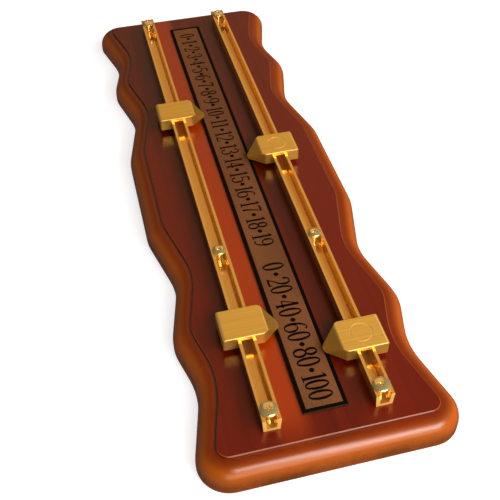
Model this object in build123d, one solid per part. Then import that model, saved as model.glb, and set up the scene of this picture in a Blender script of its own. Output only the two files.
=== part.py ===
"""Billiard scoreboard for a wall: a moulded wooden board with scalloped sides, an etched
number plate between two brass channel rails, and four brass pointers that slide on them.

Millimetres. +X runs along the numbers from 0 to 100, +Y points to the tops of the
numbers, which is up on the wall, and +Z comes out of the board's face. The origin is the
centre of the footprint, in the plane of the wall pads.
"""

from build123d import *
import math
import os

# Board
BOARD_LENGTH = 660.0
BOARD_WIDTH = 204.4             # across the middle lobes
BOARD_THICKNESS = 24.0
OVOLO_RADIUS = 15.0
OVOLO_LEDGE = 1.2
FIELD_STEP = 2.5
FIELD_RIM_CHAMFER = 0.8
BACK_EDGE_CHAMFER = 1.0

# Scalloped outline: the sharp corners of one quarter, from the middle lobe to the end. Each
# has its distance from the board's end, how far it lies inside or outside the middle lobe
# and the radius that rounds it
MIDDLE_LOBE_INSET = 270.5
MIDDLE_LOBE_RADIUS = 57.0
INNER_NOTCH_INSET = 203.5
INNER_NOTCH_DEPTH = 16.0
INNER_NOTCH_RADIUS = 62.0
SMALL_LOBE_INSET = 139.8
SMALL_LOBE_DEPTH = 0.4
SMALL_LOBE_RADIUS = 49.0
OUTER_NOTCH_INSET = 88.5
OUTER_NOTCH_DEPTH = 13.4
OUTER_NOTCH_RADIUS = 75.0
END_CORNER_STAND_OUT = 9.4
END_CORNER_RADIUS = 26.0

# Wall pads
PAD_SIZE = 13.0
PAD_THICKNESS = 2.5
PAD_END_INSET = 34.0
PAD_SIDE_INSET = 28.0

# Number plate
PLATE_LEFT_INSET = 41.5         # from the board's 0 end to the plate
PLATE_RIGHT_INSET = 37.5        # from the board's 100 end to the plate
PLATE_WIDTH = 36.4
PLATE_THICKNESS = 1.2
PLATE_CORNER_RADIUS = 0.8
PLATE_EDGE_CHAMFER = 0.25
FILM_THICKNESS = 0.2
FILM_INSET = 1.0

# Rails
RAIL_END_INSET = 30.5           # from the board's end to the rail's end
RAIL_TO_PLATE = 18.5            # from the rail's wall to the plate's edge
RAIL_BASE_WIDTH = 13.2
RAIL_TOP_WIDTH = 15.0
RAIL_HEIGHT = 13.2
RAIL_WALL = 2.8
RAIL_FLOOR = 2.6
RAIL_ROOT_RADIUS = 0.8
RAIL_EDGE_RADIUS = 0.3

# Rail screws
END_SCREW_INSET = 9.5
DIVIDER_TO_RIGHT_SCREW = 171.4
SCREW_DIAMETER = 4.2
SCREW_BITE = 14.0
END_HEAD_DIAMETER = 14.4
DIVIDER_HEAD_DIAMETER = 12.2
HEAD_FLAT_DIAMETER = 6.8
HEAD_RIM_HEIGHT = 1.0
HEAD_CROWN_HEIGHT = 2.2
RECESS_SPAN = 5.6
RECESS_SLOT = 1.2
RECESS_DEPTH = 1.6
SCREW_CLEARANCE = 0.1

# Sliding pointers
POINTER_LENGTH = 31.0           # along the rail
POINTER_BACK = 19.5             # from the rail's centre line to the back face
POINTER_SHOULDER = 15.0         # from the rail's centre line to where the nose narrows
NOSE_RIDGE = 17.5               # from the rail's centre line to where the top slopes down
NOSE_REACH = 30.2               # from the rail's centre line to the tip
NOSE_TIP_WIDTH = 5.0
NOSE_TIP_HEIGHT = 1.2
POINTER_HEIGHT = 12.2
POINTER_ROOF = 3.6
POINTER_SIDE_GAP = 0.08
POINTER_ROOF_GAP = 0.1
BACK_BEVEL_WIDTH = 2.0
BACK_BEVEL_HEIGHT = 1.2
POINTER_CORNER_CHAMFER = 0.9
POINTER_EDGE_CHAMFER = 0.4
RING_DIAMETER = 18.0
RING_WIDTH = 1.0
RING_DEPTH = 0.4
LOWER_UNITS_REST = 194.0        # from the left screw to where the pointer stands at rest
UPPER_UNITS_REST = 276.5
LOWER_TWENTIES_REST = 83.5      # from the right screw to where the pointer stands at rest
UPPER_TWENTIES_REST = 49.5

# Keyhole hangers let into the back
HANGER_END_INSET = 125.0        # from the board's end to the hanger's middle
HANGER_SIDE_INSET = 52.2        # from the board's upper side to the hanger's middle
HANGER_LENGTH = 50.0
HANGER_WIDTH = 16.0
HANGER_THICKNESS = 2.0
HANGER_POCKET_GAP = 0.2
KEYHOLE_ENTRY = 10.0
KEYHOLE_SLOT = 4.5
KEYHOLE_TRAVEL = 11.0
WELL_GAP = 1.0                  # around the wall screw's head behind the keyhole
WELL_DEPTH = 8.0
HANGER_SCREW_SPACING = 40.0
HANGER_SCREW_DIAMETER = 3.2
HANGER_SCREW_HEAD = 6.4
HANGER_SCREW_LENGTH = 12.0
HANGER_RECESS_SPAN = 3.4
HANGER_RECESS_SLOT = 0.8
HANGER_RECESS_DEPTH = 1.0

# Levels and places that follow
BACK_Z = PAD_THICKNESS
FIELD_Z = BACK_Z + BOARD_THICKNESS
LEDGE_Z = FIELD_Z - FIELD_STEP
WALL_TOP_Z = FIELD_Z + RAIL_HEIGHT
POINTER_TOP_Z = WALL_TOP_Z + POINTER_ROOF_GAP + POINTER_ROOF
POINTER_UNDERSIDE_Z = POINTER_TOP_Z - POINTER_HEIGHT
BOARD_END_X = BOARD_LENGTH / 2
BOARD_SIDE_Y = BOARD_WIDTH / 2
PLATE_LENGTH = BOARD_LENGTH - PLATE_LEFT_INSET - PLATE_RIGHT_INSET
PLATE_X = (PLATE_LEFT_INSET - PLATE_RIGHT_INSET) / 2
RAIL_END_X = BOARD_END_X - RAIL_END_INSET
RAIL_Y = PLATE_WIDTH / 2 + RAIL_TO_PLATE + RAIL_TOP_WIDTH / 2
END_SCREW_X = RAIL_END_X - END_SCREW_INSET
RAILS = {"upper": RAIL_Y, "lower": -RAIL_Y}
RAIL_SCREWS = {
    "left": (-END_SCREW_X, END_HEAD_DIAMETER),
    "divider": (END_SCREW_X - DIVIDER_TO_RIGHT_SCREW, DIVIDER_HEAD_DIAMETER),
    "right": (END_SCREW_X, END_HEAD_DIAMETER),
}
POINTERS = {
    "upper": {
        "units": UPPER_UNITS_REST - END_SCREW_X,
        "twenties": END_SCREW_X - UPPER_TWENTIES_REST,
    },
    "lower": {
        "units": LOWER_UNITS_REST - END_SCREW_X,
        "twenties": END_SCREW_X - LOWER_TWENTIES_REST,
    },
}
HANGER_X = BOARD_END_X - HANGER_END_INSET
HANGER_Y = BOARD_SIDE_Y - HANGER_SIDE_INSET
HANGERS = {"left": -HANGER_X, "right": HANGER_X}
HANGER_SCREWS = {"top": HANGER_SCREW_SPACING / 2, "bottom": -HANGER_SCREW_SPACING / 2}
CUT_MARGIN = 1.0
UP = (0, 0, 1)


def board_outline():
    """The scalloped outline as a face: one quarter's corners, repeated four ways."""
    end = BOARD_END_X
    side = BOARD_SIDE_Y
    quarter = [
        (end - MIDDLE_LOBE_INSET, side, MIDDLE_LOBE_RADIUS),
        (end - INNER_NOTCH_INSET, side - INNER_NOTCH_DEPTH, INNER_NOTCH_RADIUS),
        (end - SMALL_LOBE_INSET, side - SMALL_LOBE_DEPTH, SMALL_LOBE_RADIUS),
        (end - OUTER_NOTCH_INSET, side - OUTER_NOTCH_DEPTH, OUTER_NOTCH_RADIUS),
        (end, side + END_CORNER_STAND_OUT, END_CORNER_RADIUS),
    ]
    right_half = quarter + [(x, -y, radius) for x, y, radius in reversed(quarter)]
    corners = right_half + [(-x, -y, radius) for x, y, radius in right_half]
    points = [(x, y) for x, y, radius in corners]
    radii = [radius for x, y, radius in corners]
    return make_face(FilletPolyline(*points, radius=radii, close=True))


def upward_oblong(spacing, width, x, y, z, height):
    """An upright oblong block whose two end arcs lie one above the other along Y."""
    outline = Pos(x, y, z) * SlotCenterToCenter(spacing, width, rotation=90)
    return extrude(outline, height, dir=UP)


def upward_cylinder(diameter, x, y, z, height):
    """A round block standing on z."""
    return extrude(Pos(x, y, z) * Circle(diameter / 2), height, dir=UP)


def hanger_recess(x):
    """What is routed out of the board's back for one keyhole hanger."""
    y = HANGER_Y
    pocket_width = HANGER_WIDTH + 2 * HANGER_POCKET_GAP
    arc_spacing = HANGER_LENGTH - HANGER_WIDTH
    well_width = KEYHOLE_ENTRY + 2 * WELL_GAP
    pocket = upward_oblong(arc_spacing, pocket_width, x, y, BACK_Z, HANGER_THICKNESS)
    well_height = HANGER_THICKNESS + WELL_DEPTH
    well = upward_oblong(KEYHOLE_TRAVEL, well_width, x, y, BACK_Z, well_height)
    recess = pocket + well
    pilot_diameter = HANGER_SCREW_DIAMETER + 2 * SCREW_CLEARANCE
    pilot_depth = HANGER_SCREW_LENGTH + SCREW_CLEARANCE
    for dy in HANGER_SCREWS.values():
        recess += upward_cylinder(pilot_diameter, x, y + dy, BACK_Z, pilot_depth)
    return recess


def wooden_board():
    """The board: a quarter-round moulding all round and a raised flat field."""
    outline = board_outline()
    base = extrude(Pos(0, 0, BACK_Z) * outline, LEDGE_Z - BACK_Z, dir=UP)
    base = fillet(base.faces().sort_by(Axis.Z)[-1].edges(), OVOLO_RADIUS)
    base = chamfer(base.faces().sort_by(Axis.Z)[0].edges(), BACK_EDGE_CHAMFER)
    field_outline = offset(outline, -(OVOLO_RADIUS + OVOLO_LEDGE))
    field = extrude(Pos(0, 0, LEDGE_Z) * field_outline, FIELD_STEP, dir=UP)
    field = chamfer(field.faces().sort_by(Axis.Z)[-1].edges(), FIELD_RIM_CHAMFER)
    board = base + field
    for x in HANGERS.values():
        board -= hanger_recess(x)
    pilot_depth = SCREW_BITE + SCREW_CLEARANCE
    pilot_diameter = SCREW_DIAMETER + 2 * SCREW_CLEARANCE
    for y in RAILS.values():
        for x, head_diameter in RAIL_SCREWS.values():
            pilot_z = FIELD_Z - pilot_depth
            board -= upward_cylinder(pilot_diameter, x, y, pilot_z, pilot_depth)
    return board


def plate_adhesive_film():
    """The double-sided film that holds the number plate."""
    outline = Rectangle(PLATE_LENGTH - 2 * FILM_INSET, PLATE_WIDTH - 2 * FILM_INSET)
    return extrude(Pos(PLATE_X, 0, FIELD_Z) * outline, FILM_THICKNESS, dir=UP)


def number_plate():
    """The thin metal strip that carries the numbers, its top edges eased."""
    outline = RectangleRounded(PLATE_LENGTH, PLATE_WIDTH, PLATE_CORNER_RADIUS)
    placed = Pos(PLATE_X, 0, FIELD_Z + FILM_THICKNESS) * outline
    plate = extrude(placed, PLATE_THICKNESS, dir=UP)
    return chamfer(plate.faces().sort_by(Axis.Z)[-1].edges(), PLATE_EDGE_CHAMFER)


def rail_half_width(height):
    """Half the rail's outer width at a height over the field: its sides lean outwards."""
    lean = (RAIL_TOP_WIDTH - RAIL_BASE_WIDTH) / 2 / RAIL_HEIGHT
    return RAIL_BASE_WIDTH / 2 + lean * height


def rail(y):
    """One brass channel: a flared U extruded along X, drilled for its three screws."""
    base = RAIL_BASE_WIDTH / 2
    top = RAIL_TOP_WIDTH / 2
    inner_base = base - RAIL_WALL
    inner_top = top - RAIL_WALL
    half = [
        (base, 0),
        (top, RAIL_HEIGHT),
        (inner_top, RAIL_HEIGHT),
        (inner_base, RAIL_FLOOR),
    ]
    points = half + [(-across, up) for across, up in reversed(half)]
    profile = Polygon(*points, align=None)
    roots = [v for v in profile.vertices() if math.isclose(v.Y, RAIL_FLOOR)]
    profile = fillet(roots, RAIL_ROOT_RADIUS)
    tops = [v for v in profile.vertices() if math.isclose(v.Y, RAIL_HEIGHT)]
    profile = fillet(tops, RAIL_EDGE_RADIUS)
    placed = Pos(0, y, FIELD_Z) * (Plane.YZ * profile)
    channel = extrude(placed, RAIL_END_X, both=True)
    hole_diameter = SCREW_DIAMETER + 2 * SCREW_CLEARANCE
    for x, head_diameter in RAIL_SCREWS.values():
        channel -= upward_cylinder(hole_diameter, x, y, FIELD_Z, RAIL_FLOOR)
    return channel


def cross_recess(span, slot, depth):
    """A cross-shaped driver recess that goes down from z = 0."""
    cross = Rectangle(span, slot) + Rectangle(slot, span)
    return extrude(cross, -depth)


def rail_screw(x, y, head_diameter):
    """A raised cross-recess screw: the head bridges the rail's walls, the shank goes down."""
    shank = SCREW_DIAMETER / 2
    head = head_diameter / 2
    crown = HEAD_RIM_HEIGHT + HEAD_CROWN_HEIGHT
    tip = -(RAIL_HEIGHT + SCREW_BITE)
    profile = Polygon(
        (0, crown),
        (0, tip),
        (shank, tip),
        (shank, 0),
        (head, 0),
        (head, HEAD_RIM_HEIGHT),
        (HEAD_FLAT_DIAMETER / 2, crown),
        align=None,
    )
    screw = revolve(Plane.XZ * profile, Axis.Z)
    recess = cross_recess(RECESS_SPAN, RECESS_SLOT, RECESS_DEPTH)
    screw -= Pos(0, 0, crown) * recess
    return Pos(x, y, WALL_TOP_Z) * screw


def pointer_blank():
    """The pointer before its groove: its plan and its side view, both cut from one block.
    The rail's centre line is y = 0, the nose points to +Y and the underside is z = 0."""
    half_length = POINTER_LENGTH / 2
    half_tip = NOSE_TIP_WIDTH / 2
    plan = Polygon(
        (-half_length, -POINTER_BACK),
        (half_length, -POINTER_BACK),
        (half_length, POINTER_SHOULDER),
        (half_tip, NOSE_REACH),
        (-half_tip, NOSE_REACH),
        (-half_length, POINTER_SHOULDER),
        align=None,
    )
    plan = chamfer(plan.vertices(), POINTER_CORNER_CHAMFER)
    side = Polygon(
        (-POINTER_BACK, 0),
        (NOSE_REACH, 0),
        (NOSE_REACH, NOSE_TIP_HEIGHT),
        (NOSE_RIDGE, POINTER_HEIGHT),
        (BACK_BEVEL_WIDTH - POINTER_BACK, POINTER_HEIGHT),
        (-POINTER_BACK, POINTER_HEIGHT - BACK_BEVEL_HEIGHT),
        align=None,
    )
    block = extrude(Plane.YZ * side, half_length, both=True)
    blank = block & extrude(plan, POINTER_HEIGHT, dir=UP)
    top_edges = blank.edges().filter_by(Axis.Y).group_by(Axis.Z)[-1]
    return chamfer(top_edges, POINTER_EDGE_CHAMFER)


def pointer_groove():
    """The dovetail groove that grips the rail's leaning sides and leaves the roof."""
    underside = POINTER_UNDERSIDE_Z - FIELD_Z
    bottom = underside - CUT_MARGIN
    roof = RAIL_HEIGHT + POINTER_ROOF_GAP
    lower = rail_half_width(bottom) + POINTER_SIDE_GAP
    upper = rail_half_width(roof) + POINTER_SIDE_GAP
    profile = Polygon(
        (-lower, bottom - underside),
        (lower, bottom - underside),
        (upper, roof - underside),
        (-upper, roof - underside),
        align=None,
    )
    return extrude(Plane.YZ * profile, POINTER_LENGTH / 2 + CUT_MARGIN, both=True)


def pointer_ring():
    """The engraved ring that marks the upper player's pointers."""
    outer = Circle((RING_DIAMETER + RING_WIDTH) / 2)
    inner = Circle((RING_DIAMETER - RING_WIDTH) / 2)
    middle_y = (NOSE_RIDGE - POINTER_BACK) / 2
    return extrude(Pos(0, middle_y, POINTER_HEIGHT) * (outer - inner), -RING_DEPTH)


def pointer(side, x):
    """One brass pointer on the upper or the lower rail, with its nose over the plate."""
    body = pointer_blank() - pointer_groove()
    if side == "upper":
        body = mirror(body - pointer_ring(), Plane.XZ)
    return Pos(x, RAILS[side], POINTER_UNDERSIDE_Z) * body


def hanger_screw_profile(clearance):
    """The countersunk screw's half section, grown by a clearance for the hole it sits in."""
    shank = HANGER_SCREW_DIAMETER / 2 + clearance
    head = HANGER_SCREW_HEAD / 2 + clearance
    tip = HANGER_SCREW_LENGTH + clearance
    return Polygon(
        (0, 0),
        (head, 0),
        (shank, head - shank),
        (shank, tip),
        (0, tip),
        align=None,
    )


def hanger_screw_solid(clearance):
    """The screw, or with a clearance the hole for it, from its head at z = 0 upwards."""
    return revolve(Plane.XZ * hanger_screw_profile(clearance), Axis.Z)


def hanger_screw(x, y):
    """One countersunk screw through a hanger into the board's back."""
    recess = cross_recess(HANGER_RECESS_SPAN, HANGER_RECESS_SLOT, HANGER_RECESS_DEPTH)
    screw = hanger_screw_solid(0) - mirror(recess, Plane.XY)
    return Pos(x, y, BACK_Z) * screw


def hanger(x):
    """A steel keyhole plate, flush with the back: entry below, slot running up."""
    arc_spacing = HANGER_LENGTH - HANGER_WIDTH
    plate = upward_oblong(arc_spacing, HANGER_WIDTH, 0, 0, 0, HANGER_THICKNESS)
    plate -= upward_cylinder(KEYHOLE_ENTRY, 0, -KEYHOLE_TRAVEL / 2, 0, HANGER_THICKNESS)
    plate -= upward_oblong(KEYHOLE_TRAVEL, KEYHOLE_SLOT, 0, 0, 0, HANGER_THICKNESS)
    for dy in HANGER_SCREWS.values():
        plate -= Pos(0, dy, 0) * hanger_screw_solid(SCREW_CLEARANCE)
    return Pos(x, HANGER_Y, BACK_Z) * plate


def wall_pad(x, y):
    """One square stick-on pad that keeps the board off the wall."""
    return extrude(Pos(x, y, 0) * Rectangle(PAD_SIZE, PAD_SIZE), PAD_THICKNESS, dir=UP)


def all_parts():
    """Every piece by its name."""
    parts = {
        "wooden_board": wooden_board(),
        "plate_adhesive_film": plate_adhesive_film(),
        "number_plate": number_plate(),
    }
    for side, y in RAILS.items():
        parts[f"{side}_rail"] = rail(y)
        for place, (x, head_diameter) in RAIL_SCREWS.items():
            parts[f"{side}_rail_{place}_screw"] = rail_screw(x, y, head_diameter)
        for scale, x in POINTERS[side].items():
            parts[f"{side}_{scale}_pointer"] = pointer(side, x)
    for place, x in HANGERS.items():
        parts[f"{place}_hanger"] = hanger(x)
        for level, dy in HANGER_SCREWS.items():
            parts[f"{place}_hanger_{level}_screw"] = hanger_screw(x, HANGER_Y + dy)
    pad_x = BOARD_END_X - PAD_END_INSET
    pad_y = BOARD_SIDE_Y - PAD_SIDE_INSET
    for level, y in {"upper": pad_y, "lower": -pad_y}.items():
        for place, x in {"left": -pad_x, "right": pad_x}.items():
            parts[f"{level}_{place}_wall_pad"] = wall_pad(x, y)
    return parts


os.makedirs("parts", exist_ok=True)
for name, part in all_parts().items():
    export_step(part, f"parts/{name}.step")
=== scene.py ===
"""Looks for a wall-hung billiard scoreboard: lacquered wood, brass rails and pointers,
a bronzed plate with enamelled numbers, and a small studio to show them in.

Metres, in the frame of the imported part: +X runs along the numbers from 0 to 100, +Y points
to their tops and +Z comes out of the board's face.
"""

import logging
import math
from collections.abc import Iterable, Mapping, Sequence
from dataclasses import dataclass, replace
from enum import Enum

import bpy
from mathutils import Matrix, Vector

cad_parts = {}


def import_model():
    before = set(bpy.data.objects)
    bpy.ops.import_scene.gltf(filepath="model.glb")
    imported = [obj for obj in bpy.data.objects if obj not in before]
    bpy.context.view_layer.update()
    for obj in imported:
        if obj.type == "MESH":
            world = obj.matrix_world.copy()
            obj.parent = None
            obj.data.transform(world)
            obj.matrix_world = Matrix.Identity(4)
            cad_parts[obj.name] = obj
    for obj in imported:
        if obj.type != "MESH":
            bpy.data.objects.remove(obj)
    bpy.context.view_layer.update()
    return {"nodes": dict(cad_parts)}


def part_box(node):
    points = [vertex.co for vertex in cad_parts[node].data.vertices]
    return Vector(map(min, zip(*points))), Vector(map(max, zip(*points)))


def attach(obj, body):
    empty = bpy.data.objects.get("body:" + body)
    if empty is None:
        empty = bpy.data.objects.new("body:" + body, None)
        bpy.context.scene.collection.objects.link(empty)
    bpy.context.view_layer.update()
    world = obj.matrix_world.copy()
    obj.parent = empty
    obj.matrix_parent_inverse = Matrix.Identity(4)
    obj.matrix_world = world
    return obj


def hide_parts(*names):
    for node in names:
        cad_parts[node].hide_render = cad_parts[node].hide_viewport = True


LOG = logging.getLogger("scoreboard")
MM = 0.001

Colour = tuple[float, float, float]
Point = tuple[float, float, float]
Span = tuple[float, float]
Band = tuple[float, float, float, float]
Given = int | float | Point


class Axis(Enum):
    """A direction of the part along which a surface was worked."""

    ALONG = 0
    ACROSS = 1
    UP = 2


class Corner(Enum):
    """How a stroke passes through one of its points."""

    SMOOTH = "AUTO"
    SHARP = "VECTOR"


class Value:
    """One output socket in a node tree; arithmetic on it adds Math nodes."""

    def __init__(self, owner: "NodeTree", socket: bpy.types.NodeSocket) -> None:
        """Wraps a socket.

        Args:
            owner: the tree that the socket belongs to.
            socket: the output to compute with.
        """
        self.owner = owner
        self.socket = socket

    def _math(self, operation: str, first: "Term", second: "Term" = 0.0) -> "Value":
        """Adds one Math node.

        Args:
            operation: the node's operation.
            first: its first input.
            second: its second input.

        Returns:
            The node's output.
        """
        return self.owner.add("ShaderNodeMath", {0: first, 1: second}, operation=operation)

    def __add__(self, other: "Term") -> "Value":
        """Sum."""
        return self._math("ADD", self, other)

    __radd__ = __add__

    def __sub__(self, other: "Term") -> "Value":
        """Difference."""
        return self._math("SUBTRACT", self, other)

    def __rsub__(self, other: "Term") -> "Value":
        """Difference with the number first."""
        return self._math("SUBTRACT", other, self)

    def __mul__(self, other: "Term") -> "Value":
        """Product."""
        return self._math("MULTIPLY", self, other)

    __rmul__ = __mul__

    def __truediv__(self, other: "Term") -> "Value":
        """Quotient."""
        return self._math("DIVIDE", self, other)

    def __abs__(self) -> "Value":
        """Absolute value."""
        return self._math("ABSOLUTE", self)

    def larger(self, other: "Term") -> "Value":
        """The larger of the two."""
        return self._math("MAXIMUM", self, other)

    def smaller(self, other: "Term") -> "Value":
        """The smaller of the two."""
        return self._math("MINIMUM", self, other)

    def blend(self, other: "Value", share: float) -> "Value":
        """Mixes in a share of another value."""
        return self * (1.0 - share) + other * share

    def around(self, level: float, spread: float) -> "Value":
        """Turns 0 to 1 into a level that varies up and down by a share of itself."""
        return level * (1.0 - spread + self * (2.0 * spread))

    def ramp(self, low: float, high: float) -> "Value":
        """Runs smoothly from 0 at low to 1 at high.

        Args:
            low: the value that gives 0.
            high: the value that gives 1; it may be the smaller one.

        Returns:
            The mask, between 0 and 1.
        """
        return self.owner.add(
            "ShaderNodeMapRange",
            {"Value": self, "From Min": low, "From Max": high},
            interpolation_type="SMOOTHSTEP",
        )

    def band(self, start: float, full: float, fade: float, end: float) -> "Value":
        """Rises from 0 at start to 1 at full, and falls from fade to 0 at end."""
        return self.ramp(start, full) * self.ramp(end, fade)


Term = Value | float
SocketKey = str | int
SocketTerm = Value | float | Sequence[float] | list[Value] | bpy.types.ID


class NodeTree:
    """A node tree under construction."""

    def __init__(self, tree: bpy.types.NodeTree) -> None:
        """Wraps an empty tree.

        Args:
            tree: the tree to fill.
        """
        self.nodes = tree.nodes
        self.links = tree.links
        self.nodes.clear()

    def add(
        self,
        kind: str,
        sockets: Mapping[SocketKey, SocketTerm],
        result: SocketKey = 0,
        **settings: str | float | bool,
    ) -> Value:
        """Adds one node.

        Args:
            kind: the node's type.
            sockets: values or links for its inputs, by name or number.
            result: the output that is wanted, by name or number.
            **settings: the node's own settings, which are made first.

        Returns:
            That output.
        """
        node = self.nodes.new(kind)
        for name, setting in settings.items():
            setattr(node, name, setting)
        for key, term in sockets.items():
            self.feed(node.inputs[key], term)
        return Value(self, node.outputs[result])

    def feed(self, socket: bpy.types.NodeSocket, term: SocketTerm) -> None:
        """Links or sets one input.

        Args:
            socket: the input.
            term: another node's output, several of them, or the value; a colour gets alpha.
        """
        if isinstance(term, Value):
            self.links.new(term.socket, socket)
        elif isinstance(term, list):
            for each in term:
                self.links.new(each.socket, socket)
        else:
            socket.default_value = (*term, 1.0) if socket.type == "RGBA" else term

    def parts(self, vector: Value) -> tuple[Value, Value, Value]:
        """The three numbers of a vector."""
        node = self.nodes.new("ShaderNodeSeparateXYZ")
        self.links.new(vector.socket, node.inputs[0])
        return tuple(Value(self, output) for output in node.outputs)


class ShaderTree(NodeTree):
    """A material under construction, with its Principled shader and Object coordinates."""

    def __init__(self, name: str) -> None:
        """Makes an empty material.

        Args:
            name: the material's name.
        """
        self.material = bpy.data.materials.new(name)
        self.material.use_nodes = True
        super().__init__(self.material.node_tree)
        output = self.nodes.new("ShaderNodeOutputMaterial")
        self.shader = self.nodes.new("ShaderNodeBsdfPrincipled")
        self.links.new(self.shader.outputs[0], output.inputs["Surface"])
        self.place = self.add("ShaderNodeTexCoord", {}, "Object")

    def constant(self, **values: SocketTerm) -> None:
        """Sets the shader's own sockets; an underscore stands for a space.

        Args:
            **values: the socket names and what goes in.
        """
        for name, term in values.items():
            self.feed(self.shader.inputs[name.replace("_", " ")], term)

    def axes(self) -> tuple[Value, Value, Value]:
        """The three Object coordinates."""
        return self.parts(self.place)

    def noise(self, scale: Point, detail: float = 3.0, distortion: float = 0.0) -> Value:
        """A noise that can be drawn out along an axis.

        Args:
            scale: repeats per metre along X, Y and Z.
            detail: how many finer layers it has.
            distortion: how much it is warped.

        Returns:
            The noise, about 0 to 1.
        """
        stretched = self.add("ShaderNodeMapping", {"Vector": self.place, "Scale": scale})
        return self.add(
            "ShaderNodeTexNoise",
            {"Vector": stretched, "Scale": 1.0, "Detail": detail, "Distortion": distortion},
        )

    def mix(self, mask: Term, first: SocketTerm, second: SocketTerm) -> Value:
        """Blends two colours.

        Args:
            mask: 0 for the first and 1 for the second.
            first: a colour or a link.
            second: a colour or a link.

        Returns:
            The blend.
        """
        return self.add("ShaderNodeMix", {0: mask, 6: first, 7: second}, 2, data_type="RGBA")

    def bump(self, height: Value, strength: float, depth: float) -> None:
        """Feeds a height to the shader's normal.

        Args:
            height: the height, about 0 to 1.
            strength: how strongly it acts.
            depth: the distance in metres between heights 0 and 1.
        """
        normal = self.add(
            "ShaderNodeBump", {"Strength": strength, "Distance": depth, "Height": height}
        )
        self.feed(self.shader.inputs["Normal"], normal)


@dataclass(frozen=True)
class LacqueredWood:
    """Reddish stain under a gloss lacquer.

    The moulding is lighter than the field, partly the stain's own tone and partly painted
    light, and it darkens towards its bottom edge. A strip of painted bounce light from the left
    rail runs along the plate, and a pale painted highlight runs along the field's rim. Scales
    are repeats per metre, and levels are heights.
    """

    field_colour: Colour = (0.115, 0.0065, 0.0010)
    field_dark: Colour = (0.072, 0.0036, 0.0006)
    # Painted bounce light from the left rail, in a strip along the plate
    bounce_light_colour: Colour = (0.280, 0.0300, 0.0016)
    # The moulding's own stain tone, partly painted light
    moulding_stain_and_light: Colour = (0.335, 0.0720, 0.0040)
    edge_colour: Colour = (0.105, 0.0240, 0.0008)
    # Painted highlight along the field's rim
    rim_highlight_colour: Colour = (0.420, 0.1500, 0.0500)
    figure_scale: Point = (1.6, 20.0, 20.0)
    grain_scale: Point = (6.0, 240.0, 240.0)
    pore_scale: Point = (45.0, 1500.0, 1500.0)
    grain_share: float = 0.3
    pore_share: float = 0.3
    stripe_range: Span = (0.34, 0.62)
    pore_range: Span = (0.62, 0.8)
    moulding_levels: Span = (25.6 * MM, 20.0 * MM)
    edge_levels: Span = (21.0 * MM, 8.0 * MM)
    wear_and_highlight_levels: Band = (25.65 * MM, 25.75 * MM, 26.4 * MM, 26.48 * MM)
    bounce_light_middle: float = -28.0 * MM
    bounce_light_wander: float = 20.0 * MM
    bounce_light_reach: Span = (17.0 * MM, 5.95 * MM)
    bounce_light_fade: Span = (330.0 * MM, 280.0 * MM)
    bounce_light_strength: float = 0.9
    streak_strength: float = 0.4
    pore_strength: float = 0.3
    rim_highlight_strength: float = 0.3
    roughness: float = 0.5
    coat_roughness: float = 0.24
    coat_ior: float = 1.46
    bump_strength: float = 0.08
    bump_depth: float = 0.1 * MM

    def material(self) -> bpy.types.Material:
        """Builds the material."""
        tree = ShaderTree("stained_wood_lacquer")
        along, across, up = tree.axes()
        figure = tree.noise(self.figure_scale, 3.0, 0.8)
        grain = tree.noise(self.grain_scale, 3.0, 0.2)
        pores = tree.noise(self.pore_scale, 2.0)
        stripes = figure.blend(grain, self.grain_share).ramp(*self.stripe_range)
        # Painted bounce light: a warm strip along the plate, as if thrown off the left rail,
        # fading towards the near end
        away = abs(across - self.bounce_light_middle + (figure - 0.5) * self.bounce_light_wander)
        bounce_light = away.ramp(*self.bounce_light_reach) * along.ramp(*self.bounce_light_fade)
        stained = tree.mix(stripes, self.field_dark, self.field_colour)
        field_tone = tree.mix(bounce_light * self.bounce_light_strength, stained, self.bounce_light_colour)
        # The moulding's tone is partly painted light over the stain, and darker towards its bottom
        # edge
        low = up.ramp(*self.edge_levels)
        side_tone = tree.mix(low, self.moulding_stain_and_light, self.edge_colour)
        paler = (1.0 - stripes) * self.streak_strength
        streaked = tree.mix(paler, side_tone, self.moulding_stain_and_light)
        tone = tree.mix(up.ramp(*self.moulding_levels), field_tone, streaked)
        pitted = pores.ramp(*self.pore_range) * self.pore_strength
        pored = tree.mix(pitted, tone, self.field_dark)
        # Painted highlight: a pale line along the field's rim
        rim_highlight = up.band(*self.wear_and_highlight_levels) * self.rim_highlight_strength
        tree.constant(
            Base_Color=tree.mix(rim_highlight, pored, self.rim_highlight_colour),
            Roughness=self.roughness,
            Specular_IOR_Level=0.0,
            Coat_Weight=1.0,
            Coat_Roughness=self.coat_roughness,
            Coat_IOR=self.coat_ior,
        )
        relief = grain.blend(pores, self.pore_share)
        tree.bump(relief, self.bump_strength, self.bump_depth)
        return tree.material


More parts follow.
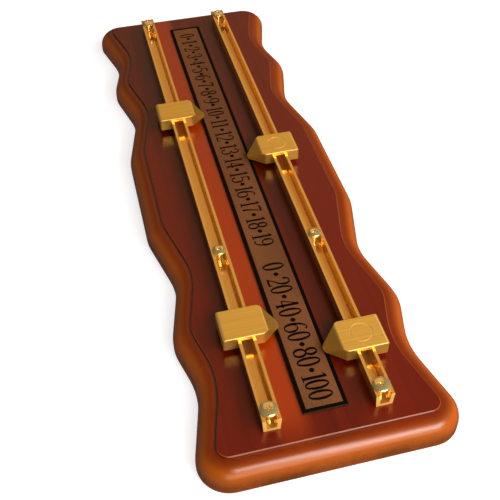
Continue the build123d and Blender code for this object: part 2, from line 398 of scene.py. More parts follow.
@dataclass(frozen=True)
class Brass:
    """Yellow brass, drawn or brushed along one axis.

    Where polish is given, what lies under the given wear level is shinier. A groove shows its
    pale bottom between its levels, and a bar's ends are sawn and duller. The bands' pitch
    is in streaks, and the repeats are per metre along the brushing.
    """

    name: str
    colour: Colour
    shade: Colour
    roughness: float
    brushed: Axis
    streak_pitch: float
    streak_depth: float
    streak_contrast: float
    metallic: float
    polish: float = 0.0
    wear_and_highlight_levels: Span = (0.0, 0.0)
    groove: Band | None = None
    pale: Colour = (0.90, 0.60, 0.20)
    half_length: float = 0.0
    sawn_depths: Span = (0.1 * MM, 0.05 * MM)
    sawn_metallic: float = 0.45
    sawn_roughness: float = 0.45
    streak_repeats: float = 14.0
    streak_range: Span = (0.35, 0.68)
    streak_strength: float = 0.35
    band_pitch: float = 4.0
    band_repeats: float = 5.0
    band_share: float = 0.4
    cloud_scale: float = 60.0
    roughness_spread: float = 0.15
    polish_gloss: float = 0.5

    def brushed_noise(self, tree: ShaderTree, across: float, along: float) -> Value:
        """A noise that is drawn out along the brushed axis.

        Args:
            tree: the material under construction.
            across: repeats per metre across the brushing.
            along: repeats per metre along it.

        Returns:
            The noise, about 0 to 1.
        """
        scale = [across] * 3
        scale[self.brushed.value] = along
        return tree.noise(tuple(scale), 2.0)

    def material(self) -> bpy.types.Material:
        """Builds the material."""
        tree = ShaderTree(self.name)
        along, _, up = tree.axes()
        fine = 1.0 / self.streak_pitch
        streaks = self.brushed_noise(tree, fine, self.streak_repeats)
        bands = self.brushed_noise(tree, fine / self.band_pitch, self.band_repeats)
        clouds = tree.noise((self.cloud_scale,) * 3, 2.0)
        streaky = streaks.blend(bands, self.band_share).ramp(*self.streak_range)
        brass = tree.mix(streaky * self.streak_contrast, self.colour, self.shade)
        metallic: Term = self.metallic
        roughness = clouds.around(self.roughness, self.roughness_spread)
        if self.polish:
            polished = up.ramp(*self.wear_and_highlight_levels) * self.polish
            metallic = self.metallic + polished * (1.0 - self.metallic)
            roughness = roughness * (1.0 - polished * self.polish_gloss)
        if self.groove:
            brass = tree.mix(up.band(*self.groove), brass, self.pale)
        if self.half_length:
            sawn = abs(along).ramp(*(self.half_length - depth for depth in self.sawn_depths))
            metallic = self.metallic + sawn * (self.sawn_metallic - self.metallic)
            roughness = roughness + sawn * (self.sawn_roughness - self.roughness)
        tree.constant(Base_Color=brass, Metallic=metallic, Roughness=roughness)
        tree.bump(streaks, self.streak_strength, self.streak_depth)
        return tree.material


@dataclass(frozen=True)
class BronzedPlate:
    """A brown bronzed plate inside a black enamelled border, with a thin dim grey painted
    reflection at its outer edge.

    The enamel is chipped in a few small places, which show the same grey as bare metal.
    """

    centre_x: float
    half_length: float
    half_width: float
    border: float = 3.4 * MM
    rim: float = 0.2 * MM
    soft: float = 0.15 * MM
    bronze: Colour = (0.235, 0.096, 0.040)
    bronze_dark: Colour = (0.148, 0.062, 0.027)
    enamel: Colour = (0.003, 0.002, 0.001)
    # Painted reflection at the plate's outer edge, and bare metal in the chips
    bare_and_sheen: Colour = (0.030, 0.024, 0.018)
    chip_scale: Point = (140.0, 420.0, 140.0)
    chip_range: Span = (0.735, 0.75)
    mottle_scale: Point = (900.0, 900.0, 900.0)
    drift_scale: Point = (9.0, 30.0, 30.0)
    drift_share: float = 0.4
    shade_range: Span = (0.36, 0.62)
    metallic: float = 0.4
    roughness: float = 0.55
    specular: float = 0.05
    bump_strength: float = 0.15
    bump_depth: float = 0.05 * MM

    def material(self) -> bpy.types.Material:
        """Builds the material."""
        tree = ShaderTree("bronzed_plate")
        along, across, _ = tree.axes()
        from_end = self.half_length - abs(along - self.centre_x)
        from_side = self.half_width - abs(across)
        inset = from_end.smaller(from_side)
        bordered = inset.ramp(self.border + self.soft, self.border - self.soft)
        # Painted reflection: a thin dim grey line along the plate's outer edge; chips in the
        # enamel show the same grey as bare metal
        rimmed = inset.ramp(self.rim + self.soft, self.rim - self.soft)
        chips = tree.noise(self.chip_scale, 2.0).ramp(*self.chip_range)
        black = bordered * (1.0 - rimmed.larger(chips))
        mottle = tree.noise(self.mottle_scale, 3.0)
        drift = tree.noise(self.drift_scale, 2.0)
        shade = mottle.blend(drift, self.drift_share).ramp(*self.shade_range)
        metal = tree.mix(shade, self.bronze_dark, self.bronze)
        edged = tree.mix(bordered, metal, self.bare_and_sheen)
        tree.constant(
            Base_Color=tree.mix(black, edged, self.enamel),
            Metallic=(1.0 - black) * self.metallic,
            Roughness=self.roughness,
            Specular_IOR_Level=self.specular,
        )
        tree.bump(mottle, self.bump_strength, self.bump_depth)
        return tree.material


@dataclass(frozen=True)
class PlainFinish:
    """A material of almost one colour whose surface is slightly uneven."""

    name: str
    colour: Colour
    shade: Colour
    roughness: float
    metallic: float = 0.0
    grain: float = 700.0
    cloud_size: float = 12.0
    shade_range: Span = (0.3, 0.7)
    roughness_spread: float = 0.2
    bump_strength: float = 0.3
    bump_depth: float = 0.03 * MM
    specular: float = 0.5

    def material(self) -> bpy.types.Material:
        """Builds the material."""
        tree = ShaderTree(self.name)
        grain = tree.noise((self.grain,) * 3, 3.0)
        clouds = tree.noise((self.grain / self.cloud_size,) * 3, 2.0)
        tree.constant(
            Base_Color=tree.mix(clouds.ramp(*self.shade_range), self.colour, self.shade),
            Metallic=self.metallic,
            Roughness=grain.around(self.roughness, self.roughness_spread),
            Specular_IOR_Level=self.specular,
        )
        tree.bump(grain, self.bump_strength, self.bump_depth)
        return tree.material


RAIL_BRASS = Brass(
    name="rail_brass_drawn",
    colour=(0.95, 0.580, 0.150),
    shade=(0.84, 0.490, 0.110),
    roughness=0.17,
    brushed=Axis.ALONG,
    streak_pitch=0.7 * MM,
    streak_depth=0.01 * MM,
    streak_contrast=0.5,
    metallic=0.85,
)
POINTER_BRASS = Brass(
    name="pointer_brass_brushed",
    colour=(0.84, 0.490, 0.085),
    shade=(0.66, 0.360, 0.057),
    roughness=0.5,
    brushed=Axis.ACROSS,
    streak_pitch=0.55 * MM,
    streak_depth=0.02 * MM,
    streak_contrast=0.7,
    metallic=0.6,
    polish=0.6,
    wear_and_highlight_levels=(42.4 * MM, 42.2 * MM),
    groove=(42.75 * MM, 42.85 * MM, 43.2 * MM, 43.3 * MM),
)
SCREW_BRASS = PlainFinish(
    name="screw_brass_bright",
    colour=(1.0, 0.76, 0.32),
    shade=(0.90, 0.66, 0.25),
    roughness=0.13,
    metallic=0.8,
    bump_depth=0.001 * MM,
)
HANGER_STEEL = PlainFinish(
    name="hanger_steel_zinc",
    colour=(0.62, 0.62, 0.60),
    shade=(0.50, 0.51, 0.51),
    roughness=0.32,
    metallic=1.0,
)
PAD_RUBBER = PlainFinish(
    name="pad_rubber_matt",
    colour=(0.022, 0.022, 0.022),
    shade=(0.032, 0.031, 0.030),
    roughness=0.85,
    bump_depth=0.08 * MM,
)
FILM = PlainFinish(
    name="adhesive_film",
    colour=(0.55, 0.55, 0.52),
    shade=(0.48, 0.48, 0.46),
    roughness=0.5,
)
NUMBER_ENAMEL = PlainFinish(
    name="number_enamel",
    colour=(0.0020, 0.0010, 0.0006),
    shade=(0.0032, 0.0016, 0.0010),
    roughness=0.6,
    bump_depth=0.01 * MM,
    specular=0.05,
)


@dataclass(frozen=True)
class Stroke:
    """One pen stroke of a numeral, in units of the numeral's height.

    Each point is its place across, its place up and the stroke's width there.
    """

    points: tuple[Point, ...]
    corner: Corner = Corner.SMOOTH
    closed: bool = False

    def turned(self) -> "Stroke":
        """The stroke turned half round about the numeral's middle."""
        points = tuple((-x, 1.0 - y, width) for x, y, width in self.points)
        return Stroke(points, self.corner, self.closed)


def loop(middle_up: float, half_width: float, half_height: float) -> Stroke:
    """A closed oval that is thick at its sides and thin above and below.

    Args:
        middle_up: the height of its middle.
        half_width: from its middle to the stroke's centre line, across.
        half_height: from its middle to the stroke's centre line, upwards.

    Returns:
        The oval.
    """
    steps = 12
    thin, thick = 0.034, 0.074
    points = []
    for step in range(steps):
        angle = 2.0 * math.pi * step / steps
        side = abs(math.cos(angle))
        across, up = half_width * math.cos(angle), middle_up + half_height * math.sin(angle)
        points.append((across, up, thin + (thick - thin) * side))
    return Stroke(tuple(points), closed=True)


def sweep(*points: Point) -> Stroke:
    """A curved stroke through its points."""
    return Stroke(points)


def bar(*points: Point) -> Stroke:
    """A straight-sided stroke through its points."""
    return Stroke(points, Corner.SHARP)


SIX = sweep(
    (0.150, 0.900, 0.060), (0.060, 0.972, 0.034),
    (-0.090, 0.850, 0.050), (-0.190, 0.550, 0.072),
    (-0.200, 0.300, 0.078), (-0.130, 0.080, 0.050),
    (0.000, 0.018, 0.034), (0.140, 0.095, 0.052),
    (0.195, 0.300, 0.076), (0.135, 0.500, 0.050),
    (0.010, 0.580, 0.032), (-0.120, 0.505, 0.030),
    (-0.180, 0.370, 0.034),
)
NUMERALS: dict[str, tuple[Stroke, ...]] = {
    "0": (loop(0.5, 0.168, 0.470),),
    "1": (
        bar((0.020, 0.000, 0.078), (0.020, 1.000, 0.078)),
        bar((0.040, 0.985, 0.034), (-0.070, 0.925, 0.034), (-0.145, 0.850, 0.022)),
        bar((-0.140, 0.014, 0.028), (0.180, 0.014, 0.028)),
    ),
    "2": (
        sweep(
            (-0.165, 0.730, 0.080), (-0.140, 0.880, 0.050),
            (0.000, 0.983, 0.034), (0.150, 0.880, 0.060),
            (0.180, 0.720, 0.078), (0.120, 0.500, 0.060),
            (-0.070, 0.230, 0.036), (-0.185, 0.040, 0.028),
        ),
        bar((-0.200, 0.032, 0.064), (0.170, 0.032, 0.064), (0.205, 0.170, 0.022)),
    ),
    "3": (
        sweep(
            (-0.160, 0.770, 0.076), (-0.125, 0.920, 0.044),
            (0.000, 0.983, 0.034), (0.140, 0.880, 0.060),
            (0.158, 0.730, 0.070), (0.085, 0.580, 0.044),
            (-0.050, 0.535, 0.030),
        ),
        sweep(
            (-0.050, 0.535, 0.030), (0.110, 0.495, 0.046),
            (0.192, 0.300, 0.078), (0.140, 0.095, 0.052),
            (0.000, 0.018, 0.034), (-0.145, 0.085, 0.046),
            (-0.180, 0.240, 0.076),
        ),
    ),
    "4": (
        bar((0.075, 0.000, 0.078), (0.075, 1.000, 0.078)),
        bar((0.062, 0.985, 0.034), (-0.205, 0.300, 0.034)),
        bar((-0.215, 0.290, 0.036), (0.215, 0.290, 0.036)),
        bar((-0.030, 0.014, 0.028), (0.180, 0.014, 0.028)),
    ),
    "5": (
        bar((-0.140, 0.960, 0.062), (0.150, 0.960, 0.062), (0.175, 1.000, 0.020)),
        bar((-0.138, 0.965, 0.034), (-0.150, 0.555, 0.034)),
        sweep(
            (-0.150, 0.560, 0.030), (0.000, 0.630, 0.036),
            (0.155, 0.510, 0.060), (0.196, 0.320, 0.078),
            (0.140, 0.095, 0.052), (0.000, 0.018, 0.034),
            (-0.145, 0.085, 0.046), (-0.180, 0.230, 0.076),
        ),
    ),
    "6": (SIX,),
    "7": (
        bar((-0.195, 0.955, 0.064), (0.205, 0.955, 0.064)),
        bar((-0.190, 0.965, 0.034), (-0.190, 0.830, 0.022)),
        sweep(
            (0.195, 0.950, 0.034), (0.070, 0.620, 0.046),
            (-0.010, 0.300, 0.066), (-0.030, 0.000, 0.080),
        ),
    ),
    "8": (loop(0.755, 0.150, 0.228), loop(0.270, 0.185, 0.252)),
    "9": (SIX.turned(),),
}


class ShapeTree(NodeTree):
    """A Geometry Nodes tree under construction, with named inputs for its sizes."""

    def __init__(self, name: str, inputs: Mapping[str, Given]) -> None:
        """Makes an empty tree.

        Args:
            name: the tree's name.
            inputs: what may be set from outside, with its usual value.
        """
        self.tree = bpy.data.node_groups.new(name, "GeometryNodeTree")
        super().__init__(self.tree)
        self.identifiers: dict[str, str] = {}
        sides = self.tree.interface
        sides.new_socket("Geometry", in_out="INPUT", socket_type="NodeSocketGeometry")
        sides.new_socket("Geometry", in_out="OUTPUT", socket_type="NodeSocketGeometry")
        kinds = {int: "NodeSocketInt", float: "NodeSocketFloat", tuple: "NodeSocketVector"}
        for title, value in inputs.items():
            socket = sides.new_socket(title, in_out="INPUT", socket_type=kinds[type(value)])
            socket.default_value = value
            self.identifiers[title] = socket.identifier
        self.start = self.nodes.new("NodeGroupInput")

    def given(self, title: str) -> Value:
        """One of the tree's inputs, by its name."""
        return Value(self, self.start.outputs[title])

    def close(self, geometry: Value, material: bpy.types.Material) -> None:
        """Ends the tree: instances become real and get their material.

        Args:
            geometry: the finished shape.
            material: what it is made of.
        """
        real = self.add("GeometryNodeRealizeInstances", {0: geometry})
        dressed = self.add("GeometryNodeSetMaterial", {"Geometry": real, "Material": material})
        end = self.nodes.new("NodeGroupOutput")
        self.links.new(dressed.socket, end.inputs["Geometry"])

    def grow(self, name: str, seed: bpy.types.ID, values: Mapping[str, Given]) -> bpy.types.Object:
        """Runs the tree on some data and keeps the result as a plain mesh.

        Args:
            name: the finished piece's name.
            seed: the mesh or curve that the tree starts from.
            values: the inputs to set, by name.

        Returns:
            The finished piece, at the origin, without modifiers.
        """
        stand_in = bpy.data.objects.new(name + "_seed", seed)
        bpy.context.scene.collection.objects.link(stand_in)
        modifier = stand_in.modifiers.new("nodes", "NODES")
        modifier.node_group = self.tree
        for title, value in values.items():
            modifier[self.identifiers[title]] = value
        bpy.context.view_layer.update()
        evaluated = stand_in.evaluated_get(bpy.context.evaluated_depsgraph_get())
        mesh = bpy.data.meshes.new_from_object(evaluated)
        mesh.name = name
        stand_in.modifiers.remove(modifier)
        bpy.data.objects.remove(stand_in)
        piece = bpy.data.objects.new(name, mesh)
        bpy.context.scene.collection.objects.link(piece)
        return piece


class StrokeNodes(ShapeTree):
    """Turns flat pen strokes into thin raised enamel."""

    def __init__(self, material: bpy.types.Material) -> None:
        """Builds the tree.

        Args:
            material: what the enamel is made of.
        """
        sizes = {"Enamel Thickness": 0.05 * MM, "Steps": 5, "Weld": 0.001 * MM}
        super().__init__("enamel_strokes", sizes)
        fine = self.add(
            "GeometryNodeSetSplineResolution",
            {"Geometry": self.given("Geometry"), "Resolution": self.given("Steps")},
        )
        upright = self.add("GeometryNodeSetCurveNormal", {"Curve": fine}, mode="Z_UP")
        width = self.add(
            "GeometryNodeCurvePrimitiveLine", {"Start": (-0.5, 0, 0), "End": (0.5, 0, 0)}
        )
        radius = self.add("GeometryNodeInputRadius", {})
        ribbon = self.add(
            "GeometryNodeCurveToMesh", {"Curve": upright, "Profile Curve": width, "Scale": radius}
        )
        raised = self.add(
            "GeometryNodeExtrudeMesh",
            {"Mesh": ribbon, "Offset Scale": self.given("Enamel Thickness"), "Individual": False},
            mode="FACES",
        )
        under = self.add("GeometryNodeFlipFaces", {"Mesh": ribbon})
        whole = self.add("GeometryNodeJoinGeometry", {0: [raised, under]})
        merged = self.add(
            "GeometryNodeMergeByDistance", {"Geometry": whole, "Distance": self.given("Weld")}
        )
        flat = self.add("GeometryNodeSetShadeSmooth", {"Geometry": merged, "Shade Smooth": False})
        self.close(flat, material)


class DotRowNodes(ShapeTree):
    """Repeats one round dot along the plate."""

    def __init__(self, material: bpy.types.Material) -> None:
        """Builds the tree.

        Args:
            material: what the dots are made of.
        """
        sizes = {
            "Dot Count": 1,
            "First Dot": (0.0, 0.0, 0.0),
            "Dot Pitch": (0.01, 0.0, 0.0),
            "Dot Radius": 1.0 * MM,
            "Dot Sides": 24,
            "Dot Thickness": 0.05 * MM,
        }
        super().__init__("dot_row", sizes)
        depth = self.given("Dot Thickness")
        row = self.add(
            "GeometryNodeMeshLine",
            {
                "Count": self.given("Dot Count"),
                "Start Location": self.given("First Dot"),
                "Offset": self.given("Dot Pitch"),
            },
            mode="OFFSET",
        )
        sides, radius = self.given("Dot Sides"), self.given("Dot Radius")
        dot = self.add(
            "GeometryNodeMeshCylinder", {"Vertices": sides, "Radius": radius, "Depth": depth}
        )
        placed = self.add("GeometryNodeInstanceOnPoints", {"Points": row, "Instance": dot})
        self.close(placed, material)


class ScrewNodes(ShapeTree):
    """Turns a screw from its half outline and cuts a tapered cross into its head."""

    hub: float = 1.0 * MM

    def __init__(self, material: bpy.types.Material) -> None:
        """Builds the tree.

        Args:
            material: what the screws are made of.
        """
        sizes = {
            "Turning Steps": 48,
            "Recess Span": 5.6 * MM,
            "Recess Slot": 1.5 * MM,
            "Recess Depth": 1.8 * MM,
            "Recess Taper": 0.3,
            "Crown": 3.2 * MM,
            "Smooth Up To": math.radians(32.0),
            "Weld": 0.01 * MM,
            "Facing": (0.0, 0.0, 0.0),
            "Seat": (0.0, 0.0, 0.0),
        }
        super().__init__("turned_screw", sizes)
        path = self.add(
            "GeometryNodeCurvePrimitiveCircle",
            {"Resolution": self.given("Turning Steps"), "Radius": self.hub},
            mode="RADIUS",
        )
        profile = self.given("Geometry")
        shell = self.add("GeometryNodeCurveToMesh", {"Curve": path, "Profile Curve": profile})
        blank = self.add(
            "GeometryNodeMergeByDistance", {"Geometry": shell, "Distance": self.given("Weld")}
        )
        bars = [self.bar(0.0), self.bar(math.pi / 2.0)]
        cut = self.add(
            "GeometryNodeMeshBoolean",
            {"Mesh 1": blank, "Mesh 2": bars},
            operation="DIFFERENCE",
            solver="EXACT",
        )
        sockets = {
            "Geometry": self.shaded(cut),
            "Translation": self.given("Seat"),
            "Rotation": self.given("Facing"),
        }
        self.close(self.add("GeometryNodeTransform", sockets), material)

    def bar(self, turn: float) -> Value:
        """Makes one bar of the cross, narrower at its foot.

        Args:
            turn: its angle about the screw's axis.

        Returns:
            The bar, in place over the head.
        """
        depth = self.given("Recess Depth")
        size = self.add(
            "ShaderNodeCombineXYZ",
            {0: self.given("Recess Span"), 1: self.given("Recess Slot"), 2: depth * 2.0},
        )
        block = self.add("GeometryNodeMeshCube", {"Size": size})
        x, y, z = self.parts(self.add("GeometryNodeInputPosition", {}))
        narrower = 1.0 + self.given("Recess Taper") * (z / depth)
        place = self.add("ShaderNodeCombineXYZ", {0: x * narrower, 1: y * narrower, 2: z})
        tapered = self.add("GeometryNodeSetPosition", {"Geometry": block, "Position": place})
        level = self.add("ShaderNodeCombineXYZ", {2: self.given("Crown")})
        return self.add(
            "GeometryNodeTransform",
            {"Geometry": tapered, "Translation": level, "Rotation": (0.0, 0.0, turn)},
        )

    def shaded(self, mesh: Value) -> Value:
        """Makes the turned surfaces smooth and keeps the corners sharp.

        Args:
            mesh: the cut screw.

        Returns:
            The shaded screw.
        """
        smooth = self.add("GeometryNodeSetShadeSmooth", {"Geometry": mesh, "Shade Smooth": True})
        bend = self.add("GeometryNodeInputMeshEdgeAngle", {}, "Unsigned Angle")
        sharp = self.add(
            "FunctionNodeCompare",
            {0: bend, 1: self.given("Smooth Up To")},
            data_type="FLOAT",
            operation="GREATER_THAN",
        )
        return self.add(
            "GeometryNodeSetShadeSmooth",
            {"Geometry": smooth, "Selection": sharp, "Shade Smooth": False},
            domain="EDGE",
        )


@dataclass(frozen=True)
class ScrewKind:
    """The half outline of one kind of screw and the cross in its head.

    The outline runs from the middle of the head outwards and then down to the point, as
    distances from the axis and heights over the seat.
    """

    outline: tuple[tuple[float, float], ...]
    crown: float
    recess_span: float
    recess_slot: float
    recess_depth: float

    @classmethod
    def domed(cls, head: float) -> "ScrewKind":
        """A rail screw: a polished dome over a short rim, with its shank below.

        Args:
            head: the head's diameter in metres.

        Returns:
            The kind of screw.
        """
        radius = head / 2.0
        rim, dome, ease, fullness = 1.0 * MM, 2.2 * MM, 0.25 * MM, 0.62
        steps = 14
        top = []
        for step in range(steps + 1):
            share = math.sin(0.5 * math.pi * step / steps)
            fall = max(0.0, 1.0 - share * share) ** fullness
            top.append((share * radius, rim + dome * fall))
        shank, tip, point = 2.1 * MM, -27.2 * MM, 4.0 * MM
        under = [(radius, ease), (radius - ease, 0.0)]
        foot = [(shank, 0.0), (shank, tip + point), (0.0, tip)]
        return cls(
            outline=tuple(top + under + foot),
            crown=rim + dome,
            recess_span=6.0 * MM,
            recess_slot=1.6 * MM,
            recess_depth=1.9 * MM,
        )

    @classmethod
    def countersunk(cls) -> "ScrewKind":
        """A hanger screw, flush with the plate that it holds."""
        head, shank, tip, point = 3.2 * MM, 1.6 * MM, -12.0 * MM, 3.0 * MM
        outline = (
            (0.0, 0.0),
            (head - 0.1 * MM, 0.0),
            (head, -0.1 * MM),
            (shank, shank - head),
            (shank, tip + point),
            (0.0, tip),
        )
        return cls(outline, 0.0, recess_span=3.4 * MM, recess_slot=0.8 * MM, recess_depth=1.0 * MM)

    def seed(self, hub: float) -> bpy.types.Curve:
        """The half outline as the curve that the tree turns.

        Args:
            hub: the radius of the circle that the outline is swept along.

        Returns:
            The curve.
        """
        curve = bpy.data.curves.new("screw_outline", "CURVE")
        curve.dimensions = "3D"
        spline = curve.splines.new("POLY")
        spline.points.add(len(self.outline) - 1)
        for point, (out, up) in zip(spline.points, self.outline):
            point.co = (out - hub, -up, 0.0, 1.0)
        return curve

    def turn(self, nodes: ScrewNodes, name: str, seat: Point, facing: Point) -> bpy.types.Object:
        """Makes one screw.

        Args:
            nodes: the tree that turns it.
            name: the piece's name.
            seat: where the middle of its seat is.
            facing: how it is turned, as angles about X, Y and Z.

        Returns:
            The finished piece.
        """
        values = {
            "Crown": self.crown,
            "Recess Span": self.recess_span,
            "Recess Slot": self.recess_slot,
            "Recess Depth": self.recess_depth,
            "Facing": facing,
            "Seat": seat,
        }
        return nodes.grow(name, self.seed(nodes.hub), values)


@dataclass(frozen=True)
class Series:
    """Numbers that stand at an even pitch along the plate, with a dot after each."""

    first: int
    step: int
    count: int
    first_dot: float
    pitch: float
    height: float
    dots: int
    one_advance: float = 0.425

    def middle(self, index: int) -> float:
        """Where a number's middle is along the plate: half a pitch before its dot."""
        return self.first_dot + (index - 0.5) * self.pitch


@dataclass
class NumberStrip:
    """The bronzed plate's black numbers and the dots between them."""

    level: float
    thickness: float = 0.05 * MM
    sunk: float = 0.01 * MM
    digit_advance: float = 0.490
    dot_radius: float = 2.2 * MM
    weight: float = 1.65
    curve_steps: int = 5
    # First number, step, count, first dot, pitch, height and dots
    series: tuple[Series, ...] = (
        Series(0, 1, 10, -261.2 * MM, 16.05 * MM, 17.8 * MM, 10),
        Series(10, 1, 10, -92.6 * MM, 23.03 * MM, 17.8 * MM, 9),
        Series(0, 20, 1, 148.5 * MM, 19.6 * MM, 19.6 * MM, 1),
        Series(20, 20, 4, 175.5 * MM, 26.6 * MM, 19.6 * MM, 4),
        Series(100, 1, 1, 287.3 * MM, 31.0 * MM, 19.6 * MM, 0, one_advance=0.260),
    )

    def write(self, curve: bpy.types.Curve, series: Series, index: int) -> None:
        """Adds one number's strokes to a curve.

        Args:
            curve: the curve that takes the splines.
            series: the number's series, which has its place and height.
            index: its place in the series.
        """
        digits = str(series.first + index * series.step)
        steps = [
            series.height * (series.one_advance if digit == "1" else self.digit_advance)
            for digit in digits
        ]
        pen = series.middle(index) - sum(steps) / 2.0
        for digit, step in zip(digits, steps):
            for stroke in NUMERALS[digit]:
                self.lay(curve, stroke, pen + step / 2.0, series.height)
            pen += step

    def lay(self, curve: bpy.types.Curve, stroke: Stroke, middle: float, height: float) -> None:
        """Adds one stroke as a spline whose radius is the stroke's width.

        Args:
            curve: the curve that takes the spline.
            stroke: the stroke.
            middle: the digit's middle along the plate.
            height: the digit's height.
        """
        spline = curve.splines.new("BEZIER")
        spline.bezier_points.add(len(stroke.points) - 1)
        for point, (across, up, width) in zip(spline.bezier_points, stroke.points):
            point.co = (middle + across * height, (up - 0.5) * height, self.level - self.sunk)
            point.handle_left_type = stroke.corner.value
            point.handle_right_type = stroke.corner.value
            point.radius = width * height * self.weight
        spline.use_cyclic_u = stroke.closed

    def build(self, material: bpy.types.Material) -> list[bpy.types.Object]:
        """Makes the numbers and the dots.

        Args:
            material: the enamel.

        Returns:
            The finished pieces.
        """
        curve = bpy.data.curves.new("number_strokes", "CURVE")
        curve.dimensions = "3D"
        strokes = StrokeNodes(material)
        rows = DotRowNodes(material)
        pieces = []
        for place, series in enumerate(self.series):
            for index in range(series.count):
                self.write(curve, series, index)
            if series.dots:
                pieces.append(self.dot_row(rows, series, f"number_dots_{place + 1}"))
        values = {"Enamel Thickness": self.thickness + self.sunk, "Steps": self.curve_steps}
        pieces.append(strokes.grow("numbers", curve, values))
        return pieces

    def dot_row(self, rows: DotRowNodes, series: Series, name: str) -> bpy.types.Object:
        """Makes the dots of one series.

        Args:
            rows: the tree that repeats a dot.
            series: where the dots stand.
            name: the piece's name.

        Returns:
            The finished piece.
        """
        depth = self.thickness + self.sunk
        level = self.level + self.thickness - depth / 2.0
        values = {
            "Dot Count": series.dots,
            "First Dot": (series.first_dot, 0.0, level),
            "Dot Pitch": (series.pitch, 0.0, 0.0),
            "Dot Radius": self.dot_radius,
            "Dot Thickness": depth,
        }
        return rows.grow(name, bpy.data.meshes.new(name + "_seed"), values)


@dataclass
class Scoreboard:
    """The whole object: which finish each node gets and what is added to it."""

    nodes: Mapping[str, bpy.types.Object]
    body: str = "board"
    first_screw_turn: float = 0.7
    screw_turn_step: float = 1.1

    def dress(self, names: Iterable[str], material: bpy.types.Material) -> None:
        """Gives nodes a material.

        Args:
            names: the nodes.
            material: what they are made of.
        """
        for name in names:
            mesh = self.nodes[name].data
            mesh.materials.clear()
            mesh.materials.append(material)
            LOG.info("dressed %s in %s", name, material.name)

    def named(self, *endings: str) -> list[str]:
        """The nodes whose names end in any of the endings."""
        return sorted(name for name in self.nodes if name.endswith(endings))

    def screw(self, names: Iterable[str], material: bpy.types.Material) -> None:
        """Puts a finely turned screw in the place of each plain one.

        Args:
            names: the plain screws' nodes.
            material: what the screws are made of.
        """
        nodes = ScrewNodes(material)
        for count, name in enumerate(names):
            low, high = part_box(name)
            middle_x, middle_y = (low[0] + high[0]) / 2.0, (low[1] + high[1]) / 2.0
            turn = self.first_screw_turn + self.screw_turn_step * count
            self.dress([name], material)
            if "hanger" in name:
                kind = ScrewKind.countersunk()
                place, facing = (middle_x, middle_y, low[2]), (math.pi, 0.0, turn)
            else:
                kind = ScrewKind.domed(high[0] - low[0])
                place, facing = (middle_x, middle_y, high[2] - kind.crown), (0.0, 0.0, turn)
            piece = kind.turn(nodes, name + "_turned", place, facing)
            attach(piece, self.body)
            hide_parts(name)
            LOG.info("turned %s with %d faces", piece.name, len(piece.data.polygons))

    def build(self) -> None:
        """Dresses every node and adds the screws and the numbers."""
        low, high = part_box("number_plate")
        plate = BronzedPlate(
            centre_x=(low[0] + high[0]) / 2.0,
            half_length=(high[0] - low[0]) / 2.0,
            half_width=(high[1] - low[1]) / 2.0,
        )
        hanger_screws = self.named("_top_screw", "_bottom_screw")
        rail_screws = [name for name in self.named("_screw") if name not in hanger_screws]
        self.dress(["wooden_board"], LacqueredWood().material())
        self.dress(["number_plate"], plate.material())
        self.dress(["plate_adhesive_film"], FILM.material())
        rail_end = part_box("upper_rail")[1][0]
        self.dress(self.named("_rail"), replace(RAIL_BRASS, half_length=rail_end).material())
        self.dress(self.named("_pointer"), POINTER_BRASS.material())
        self.dress(self.named("_hanger"), HANGER_STEEL.material())
        self.dress(self.named("_wall_pad"), PAD_RUBBER.material())
        self.screw(rail_screws, SCREW_BRASS.material())
        self.screw(hanger_screws, HANGER_STEEL.material())
        for piece in NumberStrip(level=high[2]).build(NUMBER_ENAMEL.material()):
            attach(piece, self.body)
            LOG.info("added %s with %d faces", piece.name, len(piece.data.polygons))


WARM: Colour = (1.0, 0.80, 0.58)
AMBER: Colour = (1.0, 0.60, 0.30)


@dataclass(frozen=True)
class Softbox:
    """A soft rectangular studio light, which glossy surfaces mirror or not."""

    name: str
    place: Point
    target: Point
    width: float
    height: float
    power: float
    colour: Colour = (1.0, 1.0, 1.0)
    mirrored: bool = True

    def build(self) -> None:
        """Hangs the light and points it at its target."""
        light = bpy.data.lights.new(self.name, "AREA")
        light.shape = "RECTANGLE"
        light.size = self.width
        light.size_y = self.height
        light.energy = self.power
        light.color = self.colour
        lamp = bpy.data.objects.new(self.name, light)
        lamp.visible_glossy = self.mirrored
        aim = Vector(self.target) - Vector(self.place)
        turn = aim.to_track_quat("-Z", "Y").to_matrix().to_4x4()
        lamp.matrix_world = Matrix.Translation(self.place) @ turn
        bpy.context.scene.collection.objects.link(lamp)


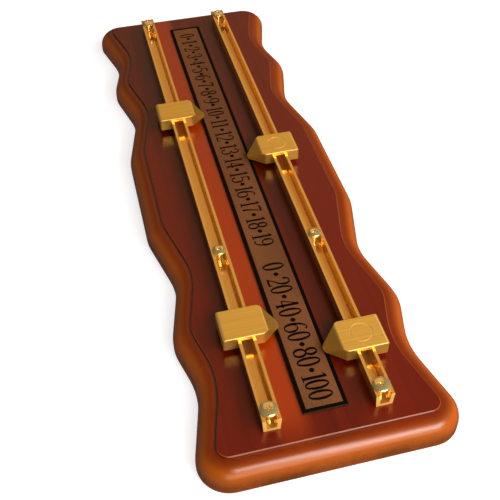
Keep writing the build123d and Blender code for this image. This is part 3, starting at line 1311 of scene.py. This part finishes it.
@dataclass(frozen=True)
class Studio:
    """The pale floor, the lights and the camera."""

    camera_place: Point = (0.61157513, -0.13129435, 0.54340333)
    camera_right: Point = (0.24117809, 0.97038175, -0.01387054)
    camera_up: Point = (-0.68657847, 0.18070814, 0.70424042)
    camera_back: Point = (0.68588857, -0.16032414, 0.70982606)
    sensor_width: float = 36.0
    lens: float = 57.6
    nearest: float = 0.01
    floor_size: float = 12.0
    floor_colour: Colour = (0.50, 0.50, 0.51)
    floor_roughness: float = 0.9
    floor_clouds: Point = (1.5, 1.5, 1.5)
    floor_shade: float = 0.98
    floor_dimming: float = 0.93
    floor_glow: float = 0.75
    sky_colour: Colour = (0.95, 0.96, 0.98)
    sky_fill: float = 0.05
    softboxes: tuple[Softbox, ...] = (
        Softbox("side_softbox", (0.15, 0.95, 0.68), (0.0, 0.0, 0.0), 1.8, 0.6, 17.0, WARM, False),
        Softbox("front_softbox", (1.66, 0.88, 1.43), (0.2, 0.0, 0.0), 1.15, 0.64, 28.0),
        Softbox("camera_softbox", (0.82, 0.10, 0.78), (0.1, 0.0, 0.0), 0.3, 0.25, 2.5),
        Softbox("low_softbox", (1.30, 0.05, 0.50), (0.1, 0.0, 0.03), 1.2, 0.5, 7.0, WARM),
        Softbox("back_softbox", (-1.0, 0.2, 1.05), (0.0, 0.0, 0.0), 1.2, 1.4, 2.7, AMBER),
        Softbox("left_softbox", (-0.9, -1.0, 0.40), (0.0, 0.0, 0.0), 1.6, 0.6, 0.4, AMBER),
    )

    def build(self) -> None:
        """Sets up the floor, the sky, the lights and the camera."""
        self.lay_floor()
        self.hang_sky()
        for softbox in self.softboxes:
            softbox.build()
        self.place_camera()
        bpy.context.scene.view_settings.view_transform = "Standard"

    def lay_floor(self) -> None:
        """Lays the plain pale floor that the board rests on; gloss mirrors it dimmer."""
        half = self.floor_size / 2.0
        mesh = bpy.data.meshes.new("floor")
        corners = [(-half, -half, 0.0), (half, -half, 0.0), (half, half, 0.0), (-half, half, 0.0)]
        mesh.from_pydata(corners, [], [(0, 1, 2, 3)])
        tree = ShaderTree("pale_floor")
        cloud = tree.noise(self.floor_clouds, 2.0)
        darker = tuple(self.floor_shade * part for part in self.floor_colour)
        tone = tree.mix(cloud, self.floor_colour, darker)
        mirrored = tree.add("ShaderNodeLightPath", {}, "Is Glossy Ray")
        dimmed = tree.mix(mirrored * self.floor_dimming, tone, (0.0, 0.0, 0.0))
        tree.constant(
            Base_Color=dimmed,
            Roughness=self.floor_roughness,
            Specular_IOR_Level=0.0,
            Emission_Color=dimmed,
            Emission_Strength=self.floor_glow / self.floor_colour[0],
        )
        mesh.materials.append(tree.material)
        floor = bpy.data.objects.new("floor", mesh)
        bpy.context.scene.collection.objects.link(floor)

    def hang_sky(self) -> None:
        """Makes a sky that looks pale and lights the object only a little."""
        world = bpy.data.worlds.new("pale_sky")
        bpy.context.scene.world = world
        world.use_nodes = True
        tree = NodeTree(world.node_tree)
        seen = tree.add("ShaderNodeBackground", {"Color": self.sky_colour})
        light = {"Color": self.sky_colour, "Strength": self.sky_fill}
        fill = tree.add("ShaderNodeBackground", light)
        direct = tree.add("ShaderNodeLightPath", {}, "Is Camera Ray")
        sky = tree.add("ShaderNodeMixShader", {0: direct, 1: fill, 2: seen})
        output = tree.nodes.new("ShaderNodeOutputWorld")
        tree.feed(output.inputs["Surface"], sky)

    def place_camera(self) -> None:
        """Puts the camera where the photograph was taken from."""
        camera = bpy.data.cameras.new("camera")
        camera.sensor_width = self.sensor_width
        camera.lens = self.lens
        camera.clip_start = self.nearest
        stand = bpy.data.objects.new("camera", camera)
        columns = Matrix((self.camera_right, self.camera_up, self.camera_back)).transposed()
        stand.matrix_world = Matrix.Translation(self.camera_place) @ columns.to_4x4()
        bpy.context.scene.collection.objects.link(stand)
        bpy.context.scene.camera = stand


def main() -> None:
    """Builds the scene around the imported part."""
    logging.basicConfig(level=logging.INFO, format="%(name)s: %(message)s")
    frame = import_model()
    Studio().build()
    Scoreboard(frame["nodes"]).build()
    bpy.context.view_layer.update()


if __name__ == "__main__":
    main()
